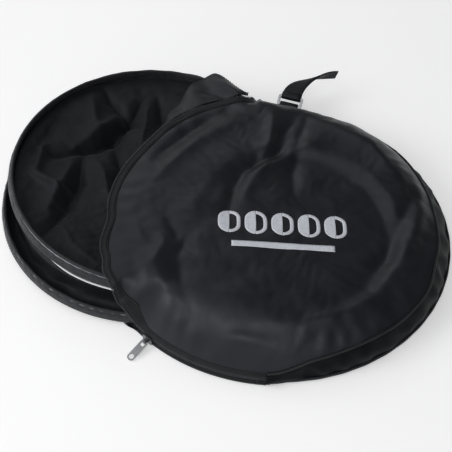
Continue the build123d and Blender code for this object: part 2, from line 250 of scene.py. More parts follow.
def round_piece(name, radius_at, height_at, n, material):
    """Round sheet of cloth: radius_at gives its edge at an angle, height_at its height."""
    radius, angle, faces = disc_grid(n)
    p = polar(radius * radius_at(angle), angle, 0.0)
    p[:, 2] = height_at(p[:, 0], p[:, 1], radius, angle)
    corners = p[faces.ravel()][:, :2] * MM
    return piece(name, p, faces, corners, material), radius


def thicken(o, thickness):
    m = o.modifiers.new("thickness", "SOLIDIFY")
    m.thickness = thickness * MM
    m.offset = -1.0
    m.use_even_offset = False


def smooth_out(o):
    m = o.modifiers.new("round", "SUBSURF")
    m.levels = m.render_levels = 1


def coordinates(o):
    co = np.empty(len(o.data.vertices) * 3)
    o.data.vertices.foreach_get("co", co)
    return co.reshape(-1, 3)


def set_coordinates(o, co):
    o.data.vertices.foreach_set("co", np.asarray(co, float).ravel())
    o.data.update()


def crumple(o, hold, growth, bend, ease):
    """Lets the cloth buckle: it is a little larger than the space it is held in.

    hold says how firmly each point is held, growth how much larger the cloth is, bend how
    stiff, and ease how many passes round its finest folds. The cloth is a square grid.
    """
    group = o.vertex_groups.new(name="hold")
    hold = np.round(hold, 2)
    for value in np.unique(hold):
        group.add([int(i) for i in np.nonzero(hold == value)[0]], float(value), "REPLACE")
    m = o.modifiers.new("cloth", "CLOTH")
    s = m.settings
    s.quality = 5
    s.mass = 0.12
    s.tension_stiffness = s.compression_stiffness = 15
    s.shear_stiffness = 6
    s.bending_stiffness = bend
    s.tension_damping = s.compression_damping = 8
    s.bending_damping = 1.0
    s.air_damping = 2.0
    s.vertex_group_mass = "hold"
    s.pin_stiffness = 1.0
    s.shrink_min = s.shrink_max = -growth
    s.effector_weights.gravity = 0.0
    m.collision_settings.use_collision = False
    m.point_cache.frame_start = 1
    m.point_cache.frame_end = CLOTH_FRAMES
    scene = bpy.context.scene
    for moment in range(1, CLOTH_FRAMES + 1):
        scene.frame_set(moment)
    shaped = o.evaluated_get(bpy.context.evaluated_depsgraph_get())
    co = np.empty(len(o.data.vertices) * 3)
    shaped.data.vertices.foreach_get("co", co)
    o.modifiers.remove(m)
    o.vertex_groups.remove(group)
    scene.frame_set(1)
    side = round(math.sqrt(len(o.data.vertices)))
    co = co.reshape(side, side, 3)
    for _ in range(ease):
        around = (co[:-2, 1:-1] + co[2:, 1:-1] + co[1:-1, :-2] + co[1:-1, 2:]) / 4
        co[1:-1, 1:-1] = (1 - EASE_SHARE) * co[1:-1, 1:-1] + EASE_SHARE * around
    set_coordinates(o, co.reshape(-1, 3))


def stand_for(o, body, slot, *replaced):
    """Puts a piece on its body, in place of the plain CAD solids."""
    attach(o, body)
    if replaced:
        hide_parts(*replaced)
    return o


# ---- Finishes ----------------------------------------------------------------------------


def linear(*colour):
    """Colour given as on a screen, from 0 to 255, turned into light."""
    return tuple(((c / 255 + 0.055) / 1.055) ** 2.4 if c > 10 else c / 255 / 12.92 for c in colour)


class Finish:
    """A material with short ways to add and join its nodes."""

    def __init__(self, name):
        self.material = bpy.data.materials.new(name)
        self.material.use_nodes = True
        self.tree = self.material.node_tree
        self.shader = self.tree.nodes["Principled BSDF"]

    def add(self, kind, **values):
        node = self.tree.nodes.new(kind)
        for key, value in values.items():
            if key in node.inputs:
                node.inputs[key].default_value = value
            else:
                setattr(node, key, value)
        return node

    def join(self, a, b):
        self.tree.links.new(a, b)

    def place(self, uv):
        """Where the pattern lies: on the unrolled cloth, or on the solid itself."""
        if uv:
            return self.add("ShaderNodeUVMap", uv_map="Cloth").outputs["UV"]
        return self.add("ShaderNodeTexCoord").outputs["Object"]

    def noise(self, where, scale, detail=3.0, distortion=0.0):
        node = self.add("ShaderNodeTexNoise", Scale=scale, Detail=detail, Distortion=distortion)
        self.join(where, node.inputs["Vector"])
        return node.outputs["Fac"]

    def band(self, where, pitch, direction, distortion=0.0):
        """Even stripes, pitch metres apart."""
        node = self.add("ShaderNodeTexWave", Scale=math.pi / (10 * pitch), Distortion=distortion)
        node.bands_direction = direction
        self.join(where, node.inputs["Vector"])
        return node.outputs["Fac"]

    def math(self, operation, a, b):
        node = self.add("ShaderNodeMath", operation=operation)
        for k, value in enumerate((a, b)):
            if isinstance(value, (int, float)):
                node.inputs[k].default_value = value
            else:
                self.join(value, node.inputs[k])
        return node.outputs[0]

    def spread(self, value, low, high, start=0.3, end=0.7):
        node = self.add("ShaderNodeMapRange")
        limits = {"From Min": start, "From Max": end, "To Min": low, "To Max": high}
        for key, number in limits.items():
            node.inputs[key].default_value = number
        self.join(value, node.inputs["Value"])
        return node.outputs["Result"]

    def tint(self, value, stops):
        node = self.add("ShaderNodeValToRGB")
        ramp = node.color_ramp
        while len(ramp.elements) < len(stops):
            ramp.elements.new(0.5)
        for element, (position, colour) in zip(ramp.elements, stops):
            element.position = position
            element.color = (*colour, 1)
        self.join(value, node.inputs["Fac"])
        return node.outputs["Color"]

    def bump(self, height, depth, under=None, strength=1.0):
        node = self.add("ShaderNodeBump", Strength=strength, Distance=depth)
        self.join(height, node.inputs["Height"])
        if under is not None:
            self.join(under, node.inputs["Normal"])
        return node.outputs["Normal"]


def fabric(name, colour, rough, pitch, relief, sheen, crinkle, mottle=0.22, gloss=0.5, uv=True):
    """Woven cloth: threads both ways, fine crinkles, and a little change of tone and sheen.

    pitch is the thread's spacing in metres; relief and crinkle are depths in millimetres.
    """
    f = Finish(name)
    where = f.place(uv)
    base = np.array(linear(*colour))
    cloudy = f.noise(where, 38.0, 4.0, 0.6)
    tone = f.tint(cloudy, [(0.32, base * (1 - mottle)), (0.68, base * (1 + mottle))])
    f.join(tone, f.shader.inputs["Base Color"])
    f.join(f.spread(f.noise(where, 90.0), rough - 0.07, rough + 0.07), f.shader.inputs["Roughness"])
    weave = f.math("MULTIPLY", f.band(where, pitch, "X", 0.4), f.band(where, pitch, "Y", 0.4))
    low = f.bump(f.noise(where, 260.0, 4.0, 1.2), crinkle * MM)
    f.join(f.bump(weave, relief * MM, low, 0.6), f.shader.inputs["Normal"])
    f.shader.inputs["Sheen Weight"].default_value = sheen
    f.shader.inputs["Sheen Roughness"].default_value = 0.45
    f.shader.inputs["Specular IOR Level"].default_value = gloss
    f.shader.inputs["Specular Tint"].default_value = (0.88, 0.92, 1.0, 1.0)
    return f


def metal(name, colour, rough):
    """Plated or bare metal with a fine grain."""
    f = Finish(name)
    where = f.place(False)
    base = np.array(linear(*colour))
    tone = f.tint(f.noise(where, 180.0, 3.0), [(0.3, base * 0.82), (0.7, base)])
    f.join(tone, f.shader.inputs["Base Color"])
    grain = f.noise(where, 900.0, 5.0, 2.0)
    f.join(f.spread(grain, rough - 0.08, rough + 0.12), f.shader.inputs["Roughness"])
    f.join(f.bump(grain, 0.02 * MM), f.shader.inputs["Normal"])
    f.shader.inputs["Metallic"].default_value = 1.0
    return f


bag_cloth = fabric(
    "bag_nylon", (23, 24, 28),
    rough=0.4, pitch=0.00045, relief=0.04, sheen=0.03, crinkle=0.05, gloss=0.4,
).material
# Side wall: the same nylon as the bag, made darker and duller, which is painted shade
shaded_wall_cloth = fabric(
    "wall_nylon_painted_shade", (15, 16, 18),
    rough=0.58, pitch=0.00045, relief=0.04, sheen=0.0, crinkle=0.08, gloss=0.12,
).material
back_cloth = fabric(
    "back_nylon", (20, 21, 24),
    rough=0.5, pitch=0.00045, relief=0.04, sheen=0.05, crinkle=0.2, gloss=0.3,
).material
tape_cloth = fabric(
    "zip_tape_twill", (16, 16, 18),
    rough=0.6, pitch=0.0007, relief=0.12, sheen=0.08, crinkle=0.08, gloss=0.3,
).material
cord_cloth = fabric(
    "piping_twill", (22, 23, 25),
    rough=0.5, pitch=0.0008, relief=0.12, sheen=0.08, crinkle=0.08, gloss=0.35,
).material
binding_cloth = fabric(
    "binding_grosgrain", (33, 33, 36),
    rough=0.52, pitch=0.0011, relief=0.3, sheen=0.1, crinkle=0.6, mottle=0.4, gloss=0.35,
).material
black_cloth = fabric(
    "black_cover_cloth", (18, 20, 23),
    rough=0.6, pitch=0.0005, relief=0.05, sheen=0.06, crinkle=0.15, gloss=0.25,
).material
white_cloth = fabric(
    "white_cover_cloth", (226, 228, 230),
    rough=0.6, pitch=0.0005, relief=0.05, sheen=0.1, crinkle=0.15, mottle=0.03,
).material
webbing = fabric(
    "webbing", (11, 11, 12),
    rough=0.5, pitch=0.0009, relief=0.12, sheen=0.06, crinkle=0.1, gloss=0.3,
).material
# Thread a little lighter than the cloth it sews: partly its own colour and partly painted highlight,
# for the light lines along the stitches
thread = fabric(
    "thread", (44, 44, 48),
    rough=0.5, pitch=0.0004, relief=0.05, sheen=0.2, crinkle=0.02, uv=False,
).material
teeth = fabric(
    "coil_nylon", (38, 39, 43),
    rough=0.3, pitch=0.0004, relief=0.02, sheen=0.0, crinkle=0.02, uv=False,
).material
coil_bright = fabric(
    "coil_polished", (34, 35, 38),
    rough=0.4, pitch=0.0004, relief=0.02, sheen=0.0, crinkle=0.02, uv=False, gloss=0.4,
).material
nickel = metal("nickel_plate", (168, 169, 173), 0.3).material
ring_steel = metal("bright_steel", (205, 207, 211), 0.2).material
spring_steel = metal("spring_steel", (120, 122, 126), 0.35).material
zinc = metal("dark_zinc", (120, 121, 125), 0.32).material


def diffuser_finish():
    """Thin gauze that lets some light through."""
    f = fabric(
        "diffuser_gauze", (232, 233, 230),
        rough=0.5, pitch=0.0004, relief=0.05, sheen=0.1, crinkle=0.12, mottle=0.02,
    )
    f.shader.inputs["Subsurface Weight"].default_value = 0.2
    return f.material


def print_finish():
    """Slightly worn silver-grey ink over the weave."""
    f = Finish("screen_print")
    where = f.place(True)
    ink = np.array(linear(212, 216, 224))
    worn = f.noise(where, 420.0, 4.0)
    f.join(f.tint(worn, [(0.25, ink * 0.8), (0.5, ink)]), f.shader.inputs["Base Color"])
    f.join(f.spread(worn, 0.38, 0.52), f.shader.inputs["Roughness"])
    weave = f.math("MULTIPLY", f.band(where, 0.00045, "X"), f.band(where, 0.00045, "Y"))
    f.join(f.bump(weave, 0.03 * MM), f.shader.inputs["Normal"])
    return f.material


diffuser_cloth = diffuser_finish()
ink = print_finish()

# ---- Tubes -------------------------------------------------------------------------------


def tube(name, centre, out, across, width, height, material, sides=12, wrap=False, power=1.0):
    """Round or flattened tube along a line."""
    a = np.radians(np.arange(0, 360, 360 / sides))
    s = np.sign(np.cos(a)) * np.abs(np.cos(a)) ** power
    r = np.sign(np.sin(a)) * np.abs(np.sin(a)) ** power
    s = s[None, :, None] * np.broadcast_to(out, centre.shape)[:, None, :] * width
    r = r[None, :, None] * np.broadcast_to(across, centre.shape)[:, None, :] * height
    return grid(name, centre[:, None, :] + s + r, material, wrap_u=wrap, wrap_v=True)


def capped(o):
    """Closes the open ends of a tube."""
    b = bmesh.new()
    b.from_mesh(o.data)
    bmesh.ops.holes_fill(b, edges=[e for e in b.edges if e.is_boundary], sides=0)
    bmesh.ops.recalc_face_normals(b, faces=b.faces)
    b.to_mesh(o.data)
    b.free()
    return o


# ---- Rows of small pieces ----------------------------------------------------------------


def capsule(name, length, radius, along, sides=6):
    """Small rounded rod along X or Z, the shape of a stitch or a coil's turn."""
    profile = [(-0.5, 0.0), (-0.38, 0.75), (-0.12, 1.0), (0.12, 1.0), (0.38, 0.75), (0.5, 0.0)]
    points = [(profile[0][0] * length, 0.0, 0.0)]
    for s, w in profile[1:-1]:
        for k in range(sides):
            a = 2 * math.pi * k / sides
            points.append((s * length, w * radius * math.cos(a), w * radius * math.sin(a)))
    points.append((profile[-1][0] * length, 0.0, 0.0))
    faces = []
    rings = len(profile) - 2
    for k in range(sides):
        m = (k + 1) % sides
        faces.append((0, 1 + m, 1 + k))
        for r in range(rings - 1):
            a = 1 + r * sides
            faces.append((a + k, a + m, a + sides + m, a + sides + k))
        faces.append((1 + (rings - 1) * sides + k, 1 + (rings - 1) * sides + m, 1 + rings * sides))
    if along == "Z":
        points = [(z, y, x) for x, y, z in points]
        faces = [f[::-1] for f in faces]
    mesh = bpy.data.meshes.new(name)
    mesh.from_pydata([tuple(c * MM for c in p) for p in points], [], faces)
    mesh.shade_smooth()
    o = link(bpy.data.objects.new(name, mesh))
    o.hide_render = o.hide_viewport = True
    return o


def row_tree():
    """Sets one piece along a line at an even pitch, turned to the line and to its across vector."""
    tree = bpy.data.node_groups.new("row_of_pieces", "GeometryNodeTree")
    face = tree.interface
    face.new_socket("Geometry", in_out="INPUT", socket_type="NodeSocketGeometry")
    face.new_socket("Pitch", in_out="INPUT", socket_type="NodeSocketFloat")
    face.new_socket("Piece", in_out="INPUT", socket_type="NodeSocketObject")
    face.new_socket("Unevenness", in_out="INPUT", socket_type="NodeSocketFloat")
    face.new_socket("Seed", in_out="INPUT", socket_type="NodeSocketInt")
    face.new_socket("Finish", in_out="INPUT", socket_type="NodeSocketMaterial")
    face.new_socket("Geometry", in_out="OUTPUT", socket_type="NodeSocketGeometry")

    def add(kind, **settings):
        node = tree.nodes.new(kind)
        for key, value in settings.items():
            setattr(node, key, value)
        return node

    def join(a, b):
        tree.links.new(a, b)

    given = add("NodeGroupInput").outputs
    line = add("GeometryNodeMeshToCurve")
    even = add("GeometryNodeResampleCurve", mode="LENGTH")
    first = add("FunctionNodeAlignRotationToVector", axis="X")
    second = add("FunctionNodeAlignRotationToVector", axis="Z", pivot_axis="X")
    tangent = add("GeometryNodeInputTangent")
    across = add("GeometryNodeInputNamedAttribute", data_type="FLOAT_VECTOR")
    across.inputs["Name"].default_value = "across"
    source = add("GeometryNodeObjectInfo")
    size = add("FunctionNodeRandomValue", data_type="FLOAT")
    least = add("ShaderNodeMath", operation="SUBTRACT")
    most = add("ShaderNodeMath", operation="ADD")
    least.inputs[0].default_value = most.inputs[0].default_value = 1.0
    put = add("GeometryNodeInstanceOnPoints")
    real = add("GeometryNodeRealizeInstances")
    finish = add("GeometryNodeSetMaterial")
    join(given["Geometry"], line.inputs["Mesh"])
    join(line.outputs["Curve"], even.inputs["Curve"])
    join(given["Pitch"], even.inputs["Length"])
    join(tangent.outputs["Tangent"], first.inputs["Vector"])
    join(first.outputs["Rotation"], second.inputs["Rotation"])
    join(across.outputs["Attribute"], second.inputs["Vector"])
    join(given["Piece"], source.inputs["Object"])
    join(given["Unevenness"], least.inputs[1])
    join(given["Unevenness"], most.inputs[1])
    join(least.outputs[0], [s for s in size.inputs if s.name == "Min" and s.enabled][0])
    join(most.outputs[0], [s for s in size.inputs if s.name == "Max" and s.enabled][0])
    join(given["Seed"], size.inputs["Seed"])
    join(even.outputs["Curve"], put.inputs["Points"])
    join(source.outputs["Geometry"], put.inputs["Instance"])
    join(second.outputs["Rotation"], put.inputs["Rotation"])
    join([s for s in size.outputs if s.enabled][0], put.inputs["Scale"])
    join(put.outputs["Instances"], real.inputs["Geometry"])
    join(real.outputs["Geometry"], finish.inputs["Geometry"])
    join(given["Finish"], finish.inputs["Material"])
    join(finish.outputs["Geometry"], add("NodeGroupOutput").inputs["Geometry"])
    return tree


rows = row_tree()


def row(name, lines, pitch, part, material, unevenness=0.06, seed=1):
    """One mesh of pieces set along lines: each line is (points, across vectors) in millimetres."""
    points, across, edges = [], [], []
    for line_points, line_across in lines:
        start = len(points)
        points.extend((np.asarray(line_points) * MM).tolist())
        across.extend(np.broadcast_to(line_across, np.shape(line_points)).tolist())
        edges.extend((k, k + 1) for k in range(start, len(points) - 1))
    mesh = bpy.data.meshes.new(name + "_line")
    mesh.from_pydata(points, edges, [])
    attribute = mesh.attributes.new("across", "FLOAT_VECTOR", "POINT")
    attribute.data.foreach_set("vector", np.asarray(across, np.float32).ravel())
    carrier = link(bpy.data.objects.new(name + "_line", mesh))
    m = carrier.modifiers.new("row", "NODES")
    m.node_group = rows
    given = {"Pitch": pitch * MM, "Piece": part, "Unevenness": unevenness}
    given.update({"Seed": seed, "Finish": material})
    for item in rows.interface.items_tree:
        if item.in_out == "INPUT" and item.name in given:
            m[item.identifier] = given[item.name]
    depsgraph = bpy.context.evaluated_depsgraph_get()
    made = bpy.data.meshes.new_from_object(carrier.evaluated_get(depsgraph), depsgraph=depsgraph)
    carrier.modifiers.clear()
    bpy.data.objects.remove(carrier)
    made.materials.clear()
    made.materials.append(material)
    made.name = name
    return link(bpy.data.objects.new(name, made))


stitch = capsule("stitch_shape", 2.3, 0.26, "X")
fine_stitch = capsule("fine_stitch_shape", 1.9, 0.2, "X")
coil_turn = capsule("coil_turn_shape", 2.3, 0.52, "Z")
small_turn = capsule("small_turn_shape", 1.5, 0.4, "Z")

# ---- Folded disc -------------------------------------------------------------------------


def hoop(turn):
    """Centreline of the folded hoop, three turns that close on themselves."""
    turn = np.asarray(turn, float)
    phase = np.radians(90 + (turn - 180) / TURNS)
    radius = LOOP - LOOP_SPREAD * np.cos(phase)
    rise = STACK_RISE - STACK_TILT * np.cos(np.radians(turn))
    p = polar(radius, turn, STACK_BASE + rise * (1 + np.sin(phase)))
    p[..., 0] += DISC_X
    p[..., 1] += LOOP_SHIFT * np.cos(phase - math.radians(SHIFT_AT))
    return p


def lean(turn):
    """Lean of the sleeve in radians, below zero where its top is pulled in by the cloth."""
    turn = np.asarray(turn, float)
    upper = step(40, 170, turn) * (1 - step(290, 350, turn))
    lower = step(480, 560, turn) * (1 - step(650, 700, turn))
    return np.radians(SLEEVE_LEAN * upper + LOWER_LEAN * lower)


def section_axes(turn):
    """Across and up vectors of the leaning sleeve."""
    out = outward(turn)
    a = lean(turn)[..., None]
    return out * np.cos(a) - UP * np.sin(a), out * np.sin(a) + UP * np.cos(a)


def sleeve():
    """Cloth sleeve over the spring: rounded top and bottom, drawn in where it is stitched."""
    turn = np.linspace(0, 360 * TURNS, 1101)[:-1]
    a = np.radians(np.arange(0, 360, 15))
    centre = hoop(turn)[:, None, :]
    across, up = (v[:, None, :] for v in section_axes(turn))
    side = np.sign(np.cos(a)) * np.abs(np.cos(a)) ** 0.7
    rise = np.sign(np.sin(a)) * np.abs(np.sin(a)) ** 0.9
    upper_seam = 0.25 * np.exp(-(((rise - 0.5) / 0.16) ** 2))
    lower_seam = 0.2 * np.exp(-(((rise + 0.6) / 0.14) ** 2))
    drawn = 1 - upper_seam - lower_seam
    along = turn[:, None] * math.pi * LOOP / 180
    gathers = 0.4 * np.sin(along / 1.6 + 0.9 * np.sin(along / 13))
    pucker = gathers * np.exp(-(((rise - 0.4) / 0.35) ** 2))
    slack = 0.5 * ripple(along, 4 * rise[None, :], 30.0, 3)
    half = SLEEVE_HALF * side * drawn + np.sign(side) * pucker + 0.5 * side * slack
    tall = SLEEVE_TALL * rise + 0.4 * slack
    P = centre + across * half[..., None] + up * tall[..., None]
    return grid("rim_sleeve", P, binding_cloth, wrap_u=True, wrap_v=True)


def hoop_line(side, lift, n=900):
    """Line along the sleeve's face: side -1 is its inner face and 1 its outer one."""
    turn = np.linspace(0, 360 * TURNS, n + 1)
    across, up = section_axes(turn)
    return hoop(turn) + across * side + up * lift, across


def loop_line(start):
    """One turn of the hoop seen from the disc's centre: angle, radius and height."""
    p = hoop(np.linspace(start, start + 359, 360))
    x, y = p[:, 0] - DISC_X, p[:, 1]
    return np.degrees(np.arctan2(y, x)) % 360, np.hypot(x, y), p[:, 2]


LOOPS = [loop_line(360.0 * k) for k in range(TURNS)]


def loop_at(k, angle):
    """Radius and height at an angle of loop k: 0 is the top one, 1 the outer low one, 2 the inner."""
    around, *values = LOOPS[k]
    return tuple(np.interp(angle, around, value, period=360) for value in values)


def cloth_edge(angle):
    """Inside of the top loop, eased to the inside of all three where they cross in the bag."""
    loops = [loop_at(k, angle)[0] for k in range(TURNS)]
    inside = np.minimum(np.minimum(loops[0], loops[1]), loops[2])
    top = step(8, 42, angle) * (1 - step(318, 352, angle))
    return inside + (loops[0] - inside) * top - SLEEVE_HALF + 0.9 * top


def top_plane(x):
    """Height of the top loop's plane, which falls to the right."""
    return 39.2 - 0.0658 * x


# Folds of the black face: height, width, path.
BLACK_FOLDS = [
    (-9.0, 7.0, [(-222, -8), (-203, 14), (-190, 23), (-179, 42), (-174, 79), (-172, 100)]),
    (6.0, 9.0, [(-212, 8), (-200, 30), (-190, 48), (-186, 70)]),
    (-7.5, 7.0, [(-200, 14), (-187, -26), (-184, -57), (-188, -100)]),
    (5.5, 9.0, [(-202, -10), (-198, -40), (-198, -75)]),
    (6.5, 6.0, [(-238, -32), (-222, -38), (-204, -44), (-186, -48)]),
    (5.0, 6.0, [(-226, -36), (-232, -12), (-243, 20)]),
    (-5.0, 5.0, [(-246, -22), (-240, 0), (-240, 22), (-238, 48)]),
    (-7.0, 6.0, [(-220, 100), (-200, 82), (-183, 72), (-165, 62)]),
    (6.0, 8.0, [(-222, 84), (-210, 62), (-200, 44)]),
    (5.0, 6.0, [(-180, 4), (-168, -10), (-158, -26), (-146, -42)]),
    (-6.0, 6.0, [(-182, 44), (-166, 17), (-154, 0), (-146, -20)]),
    (-5.0, 6.0, [(-160, 108), (-147, 84), (-138, 64)]),
    (4.5, 7.0, [(-168, 98), (-158, 70), (-152, 44)]),
    (3.0, 10.0, [(-176, -84), (-160, -100), (-130, -112)]),
    (-3.0, 8.0, [(-226, -60), (-210, -84), (-190, -104)]),
]


def black_height(x, y, radius, angle):
    crossing = step(10, 40, angle) * (1 - step(320, 350, angle))
    rim = top_plane(x) * (1 - crossing) + loop_at(0, angle)[1] * crossing
    z = top_plane(x) + (rim - top_plane(x)) * radius**4
    z = z - 0.6 - 3.6 * crossing - 7.0 * (1 - radius**3)
    for height, width, path in BLACK_FOLDS:
        z = z + crease(x + DISC_X, y, 1.7 * height, 0.8 * width, path, 1.05) * (1 - radius**10)
    return z + 0.8 * ripple(x, y, 34.0, 11) * (1 - radius**6)


def white_height(x, y, radius, angle):
    return 5.5 + 3.0 * radius**3 + 1.0 * ripple(x, y, 46.0, 12) * (1 - radius**8)


def gauze_height(x, y, radius, angle):
    return 12.5 + 1.2 * ripple(x, y, 40.0, 13) * (1 - radius**8)


def disc_cloth(name, edge_at, height_at, n, material, growth, thickness):
    """Cover cloth in the loops, let buckle where growth is given."""
    o, radius = round_piece(name, edge_at, height_at, n, material)
    co = coordinates(o)
    co[:, 0] += DISC_X * MM
    set_coordinates(o, co)
    if growth:
        hold = np.where(radius > 0.985, 1.0, 0.16 + 0.3 * step(0.9, 0.985, radius))
        crumple(o, hold, growth, 0.8, 1)
    thicken(o, thickness)
    return o


def hanging(name, start, end, belly, drop, first, last, seed):
    """Black cover cloth hung between two loops: start and end give radius and height at an angle.

    belly is how far it swings in and drop how far it sags. first and last are its end angles.
    """
    angle = np.linspace(first, last, 420)
    t = np.linspace(0, 1, 15)[None, :]
    r0, z0 = (v[:, None] for v in start(angle))
    r1, z1 = (v[:, None] for v in end(angle))
    shut = (step(first, first + 30, angle) * (1 - step(last - 30, last, angle)))[:, None]
    bend = 2 * t * (1 - t)
    r = r0 * (1 - t) ** 2 + bend * (np.minimum(r0, r1) - belly * shut) + t**2 * r1
    z = z0 * (1 - t) ** 2 + bend * ((z0 + z1) / 2 - drop * shut) + t**2 * z1
    z = np.maximum(z, LOWEST_CLOTH)
    along = np.radians(angle)[:, None] * LOOP
    folds = 0.9 * np.sin(along / 7.5 + 2.4 * np.sin(along / 31) + 2 * t)
    folds = folds + 1.0 * ripple(along, 30 * t, 30.0, seed)
    r = r + folds * np.sin(math.pi * t) * shut
    P = polar(r, angle[:, None], z)
    P[..., 0] += DISC_X
    o = grid(name, P, black_cloth, flip=True)
    thicken(o, COVER_PLY)
    return stand_for(o, "disc", "black_cloth")


def under_top(angle):
    radius, height = loop_at(0, angle)
    return radius - 6.0 * np.sin(lean(angle)) - 0.6, height - 4.6


def over_inner(angle):
    radius, height = loop_at(2, angle)
    return radius - 1.6, height + 3.6


def under_inner(angle):
    radius, height = loop_at(2, angle)
    return radius + 0.8, height - 4.2


def inside_outer(angle):
    radius, height = loop_at(1, angle)
    return radius - 1.2, height - 3.6


def white_hem():
    """Edge of the white face, which shows as a thin line under the top loop."""
    angle = np.linspace(240, 300, 160)
    radius, height = loop_at(0, angle)
    show = step(240, 262, angle) * (1 - step(280, 300, angle))
    p = polar(radius + 0.4 + 2.5 * show, angle, height - 6.0 - 0.8 * show)
    p[:, 0] += DISC_X
    p[:, 2] += 0.25 * ripple(angle * 2.3, 0 * angle, 30.0, 19)
    return capped(tube("white_hem", p, outward(angle), UP, 0.9, 0.7, white_cloth, 10))


stand_for(sleeve(), "disc", "binding", "rim_binding")
cover_coil = row("cover_coil", [hoop_line(-2.1, -3.9)], 1.7, small_turn, coil_bright)
stand_for(cover_coil, "disc", "zip_coil", "cover_zip_coil")
seam_rows = [hoop_line(-1.75, 2.8), hoop_line(1.8, -3.3)]
sleeve_stitches = row("sleeve_stitches", seam_rows, 3.4, fine_stitch, thread)
stand_for(sleeve_stitches, "disc", "binding")
black = disc_cloth("black_cloth", cloth_edge, black_height, 120, black_cloth, 0.03, COVER_PLY)
stand_for(black, "disc", "black_cloth", "black_face")
upper_fall = hanging("black_fall_upper", under_top, over_inner, 14.0, 0.0, 24, 336, 17)
lower_fall = hanging("black_fall_lower", under_inner, inside_outer, 1.0, 16.0, 30, 330, 18)
stand_for(white_hem(), "disc", "white_cloth")
gauze = disc_cloth(
    "diffuser_cloth", lambda a: loop_at(2, a)[0] - 6.0, gauze_height, 70, diffuser_cloth, 0.0, 0.4
)
stand_for(gauze, "disc", "diffuser_cloth", "diffuser_panel")
white = disc_cloth(
    "white_cloth", lambda a: loop_at(2, a)[0] - 3.4, white_height, 80, white_cloth, 0.0, COVER_PLY
)
stand_for(white, "disc", "white_cloth", "white_face")

# ---- Bag ---------------------------------------------------------------------------------


def plateau(x):
    """Height of the filled bag's top."""
    return PLATEAU - PLATEAU_FALL * x


# Folds of the front panel: height, width, path.
PANEL_FOLDS = [
    (-5.0, 9.0, [(-124, 6), (-118, 24), (-108, 50), (-92, 82), (-78, 100)]),
    (2.5, 8.0, [(-112, -12), (-104, 22), (-92, 52), (-74, 80)]),
    (-3.6, 6.0, [(-38, -24), (-43, 7), (-41, 27), (-31, 47), (-17, 66), (-14, 84)]),
    (3.4, 6.5, [(-31, -6), (-31, 28), (-22, 43), (-8, 60), (4, 80)]),
    (-3.0, 6.0, [(-15, 116), (-22, 82), (-19, 56)]),
    (3.0, 7.0, [(-38, 108), (-28, 71), (-31, 42)]),
    (-2.6, 8.0, [(-6, 118), (-4, 83), (2, 42), (10, 20)]),
    (3.0, 10.0, [(24, 112), (61, 104), (92, 78)]),
    (-3.0, 6.0, [(104, 88), (114, 56), (111, 16), (110, -24), (98, -48)]),
    (2.6, 6.0, [(120, 74), (127, 40), (126, 4), (122, -30)]),
    (-2.4, 5.0, [(124, 82), (137, 30), (141, -28)]),
    (2.2, 9.0, [(-40, -150), (-60, -128), (-78, -108), (-80, -70)]),
    (-2.0, 8.0, [(-26, -146), (-46, -120), (-62, -92), (-62, -58)]),
    (1.3, 6.0, [(-100, -96), (-84, -108), (-72, -132)]),
    (-1.4, 5.0, [(-112, -92), (-94, -112), (-82, -134)]),
    (1.2, 5.0, [(-118, -62), (-100, -84), (-92, -92)]),
    (-2.6, 6.0, [(-88, -52), (-70, -70), (-50, -82)]),
    (-2.0, 5.0, [(36, -140), (66, -128), (100, -104), (128, -74)]),
    (2.0, 5.0, [(20, -134), (60, -116), (92, -92), (118, -60)]),
    (-1.6, 4.0, [(0, -142), (40, -128), (74, -108)]),
    (1.6, 4.0, [(-20, -150), (20, -144), (60, -136)]),
]


def seam_radius(angle):
    return BAG - eased(SEAM_INSET, angle)


def seam_height(angle):
    r = seam_radius(angle)
    return plateau(r * np.cos(np.radians(angle))) - 0.6 - eased(SEAM_DROP, angle)


def lip(angle):
    """Line where the upper tape turns over: the open mouth's edge, then the closed zip."""
    opened = (angle >= ZIP_TOP) & (angle <= MOUTH_END)
    reach = np.where(opened, ZIP - eased(LIP_INSET, angle), ZIP)
    height = np.where(opened, ZIP_MOUTH + eased(LIP_RISE, angle) * (PLATEAU - ZIP_MOUTH), ZIP_MOUTH)
    return polar(reach, angle, height)


def panel_edge(angle):
    """Radius and height of the panel's edge: close behind the lip where the zip is open."""
    opened = step(113, 121, angle) * (1 - step(230, 242, angle))
    edge = lip(angle)
    radius = np.hypot(edge[..., 0], edge[..., 1]) - 3.4
    height = edge[..., 2] - 0.5
    shut = step(240, 247, angle) * (1 - step(284, 300, angle))
    low_radius = seam_radius(angle) * (1 - shut) + (BAG + 1.4) * shut
    low_height = seam_height(angle) * (1 - shut) + 13.0 * shut
    return (
        low_radius * (1 - opened) + radius * opened,
        low_height * (1 - opened) + height * opened,
    )


